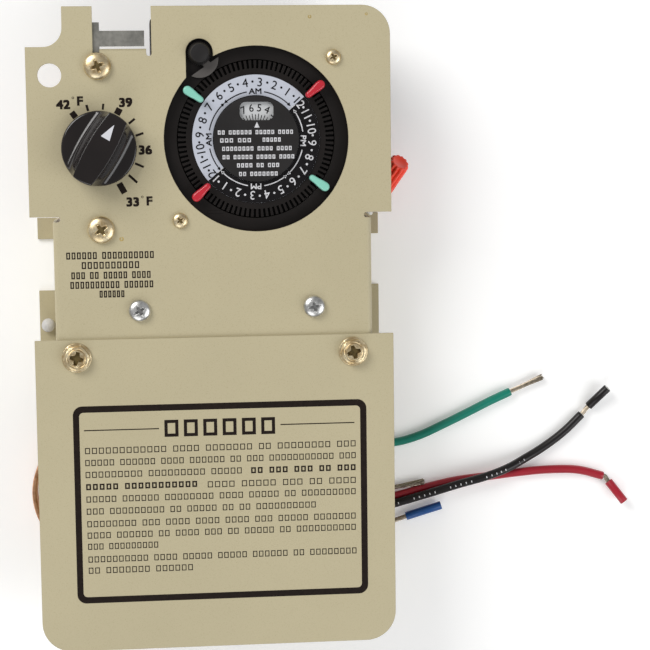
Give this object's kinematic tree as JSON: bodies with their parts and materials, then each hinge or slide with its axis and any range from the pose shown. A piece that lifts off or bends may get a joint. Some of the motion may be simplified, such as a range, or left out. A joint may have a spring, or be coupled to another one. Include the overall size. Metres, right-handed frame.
{
  "type": "panel timer and freeze protection thermostat",
  "caption": "Sheet steel control panel with a day dial timer with trippers, a freeze protection thermostat with knob and copper sensor coil, a wiring cover and free leads.",
  "frame": {"origin": "on the surface the panel lies on with its rear feet, below the middle of the object without its free leads", "axes": "+Z out of the panel's front face, +Y from the wiring cover to the dial along the panel, +X to the right seen from the front"},
  "size_m": [0.269, 0.271, 0.0606],
  "materials": {
    "panel_paint": "beige powder coat on sheet steel",
    "yellow_zinc": "yellow zinc plate",
    "bright_zinc": "bright zinc plate",
    "galvanised": "galvanised steel",
    "copper": "bare copper",
    "brass": "brass",
    "black_plastic": "black moulded plastic",
    "knob_black": "glossy black plastic",
    "charcoal_plastic": "charcoal plastic",
    "grey_plastic": "grey plastic",
    "phenolic": "brown phenolic",
    "white_plastic": "white nylon",
    "dial_white": "printed white and black dial",
    "disc_white": "printed white disc",
    "pointer_white": "silver white pointer",
    "tripper_red": "red plastic",
    "tripper_mint": "mint green plastic",
    "connector_red": "red plastic",
    "coil_enamel": "enamelled copper winding",
    "lead_green": "green insulation",
    "lead_white": "white insulation",
    "lead_red": "red insulation",
    "lead_black": "black insulation",
    "lead_blue": "blue insulation",
    "tinned_wire": "stranded tinned copper"
  },
  "bodies": {
    "panel": {"mounting_panel": "panel_paint", "foot_bushing": "white_plastic", "thermostat_screws": "yellow_zinc", "timer_screws": "yellow_zinc", "relay_screws": "bright_zinc", "thermostat_frame": "galvanised", "thermostat_case": "phenolic", "thermostat_terminals": "brass", "power_element": "copper", "capillary_tube": "copper", "sensing_coil": "copper", "timer_case": "black_plastic", "timer_back_plate": "black_plastic", "motor_can": "bright_zinc", "motor_coil": "coil_enamel", "centre_plate": "charcoal_plastic", "timer_switch": "phenolic", "contact_blades": "brass", "relay_base": "phenolic", "relay_case": "charcoal_plastic", "relay_coil": "coil_enamel", "lead_comb": "black_plastic", "wire_connector": "connector_red", "connector_wires": "lead_white", "green_lead": "lead_green", "white_lead": "lead_white", "red_lead": "lead_red", "black_lead": "lead_black", "blue_lead": "lead_blue", "green_strands": "tinned_wire", "white_strands": "tinned_wire", "red_strands": "tinned_wire", "black_strands": "tinned_wire", "blue_strands": "tinned_wire", "red_slug": "lead_red", "black_slug": "lead_black", "blue_slug": "lead_blue"},
    "cover": {"wiring_cover": "panel_paint", "cover_screws": "yellow_zinc"},
    "thermostat_control": {"thermostat_shaft": "galvanised", "thermostat_knob": "knob_black", "knob_pointer": "pointer_white"},
    "range_adjuster": {"range_nut": "brass", "range_spring": "bright_zinc"},
    "dial": {"dial_wheel": "black_plastic", "number_ring": "dial_white", "time_disc": "disc_white"},
    "reduction": {"reduction_gear": "white_plastic"},
    "motor": {"motor_rotor": "charcoal_plastic", "motor_pinion": "brass"},
    "override": {"override_knob": "charcoal_plastic", "override_flag": "grey_plastic", "override_cam": "white_plastic"},
    "red_tripper_a": {"red_tripper_1": "tripper_red"},
    "red_tripper_b": {"red_tripper_2": "tripper_red"},
    "green_tripper_a": {"green_tripper_1": "tripper_mint"},
    "green_tripper_b": {"green_tripper_2": "tripper_mint"}
  },
  "joints": [
    {"name": "cover_lift", "type": "slide", "parent": "panel", "child": "cover", "axis": [0, 0, 1], "range_m": [0, 0.04]},
    {"name": "knob_turn", "type": "hinge", "parent": "panel", "child": "thermostat_control", "pos_m": [-0.0491, 0.0772, 0.046], "axis": [0, 0, 1], "range_deg": [-122, 63]},
    {"name": "range_nut_travel", "type": "slide", "parent": "panel", "child": "range_adjuster", "axis": [0, 0, 1], "range_m": [-0.0007, 0.0004], "deforming": ["range_spring"]},
    {"name": "dial_turn", "type": "hinge", "parent": "panel", "child": "dial", "pos_m": [0.0164, 0.0803, 0.04], "axis": [0, 0, 1], "continuous": true},
    {"name": "reduction_spin", "type": "hinge", "parent": "panel", "child": "reduction", "pos_m": [0.04027, 0.05643, 0.025], "axis": [0, 0, 1], "continuous": true},
    {"name": "motor_spin", "type": "hinge", "parent": "panel", "child": "motor", "pos_m": [0.03032, 0.06638, 0.01], "axis": [0, 0, 1], "continuous": true},
    {"name": "override_turn", "type": "hinge", "parent": "panel", "child": "override", "pos_m": [-0.0069, 0.116, 0.04], "axis": [0, 0, 1], "continuous": true},
    {"name": "red_tripper_a_pull", "type": "slide", "parent": "dial", "child": "red_tripper_a", "axis": [0, 0, 1], "range_m": [0, 0.012]},
    {"name": "red_tripper_b_pull", "type": "slide", "parent": "dial", "child": "red_tripper_b", "axis": [0, 0, 1], "range_m": [0, 0.012]},
    {"name": "green_tripper_a_pull", "type": "slide", "parent": "dial", "child": "green_tripper_a", "axis": [0, 0, 1], "range_m": [0, 0.012]},
    {"name": "green_tripper_b_pull", "type": "slide", "parent": "dial", "child": "green_tripper_b", "axis": [0, 0, 1], "range_m": [0, 0.012]}
  ],
  "couplings": [
    {"joint": "range_nut_travel", "follows": "knob_turn", "m_per_rad": 0.0003},
    {"joint": "reduction_spin", "follows": "dial_turn", "ratio": -8},
    {"joint": "motor_spin", "follows": "dial_turn", "ratio": 32}
  ]
}
